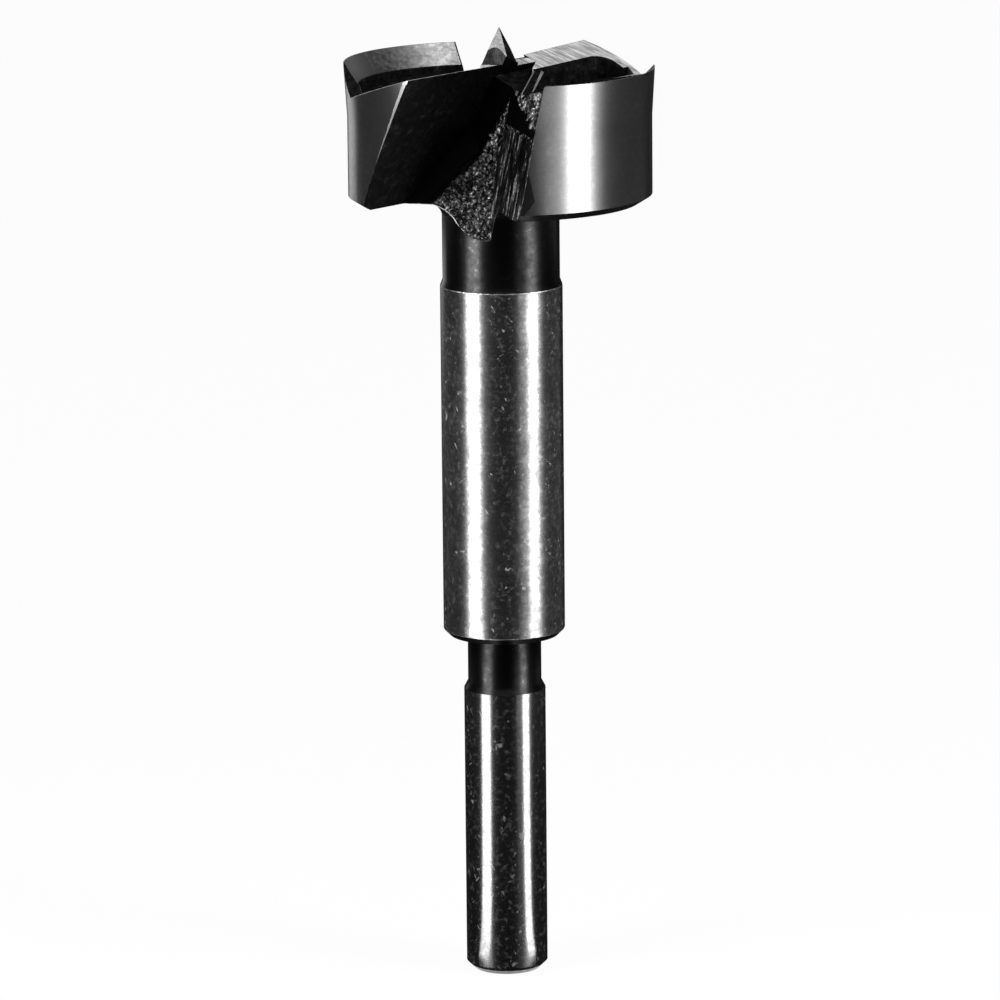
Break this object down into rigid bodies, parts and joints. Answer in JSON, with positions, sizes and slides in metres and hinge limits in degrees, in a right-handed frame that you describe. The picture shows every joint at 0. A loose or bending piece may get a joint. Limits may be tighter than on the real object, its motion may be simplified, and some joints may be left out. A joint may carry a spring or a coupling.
{
  "type": "forstner bit",
  "caption": "Wood boring bit with a round shank, a ground body and a flat cutting head with lips, rim cutters, chip throats and a centre point.",
  "frame": {"origin": "centre of the flat end of the shank", "axes": "+Z along the bit from shank end to centre point, +X along one lip, +Y ahead of that lip in the cutting direction"},
  "size_m": [0.03, 0.03, 0.0935],
  "materials": {
    "boring_bit": "ground bright on shank, body, head outside, lip lands and rim bevels; blackened in the throats, pockets, waist and neck"
  },
  "bodies": {
    "root": {"boring_bit": "boring_bit"}
  },
  "joints": []
}
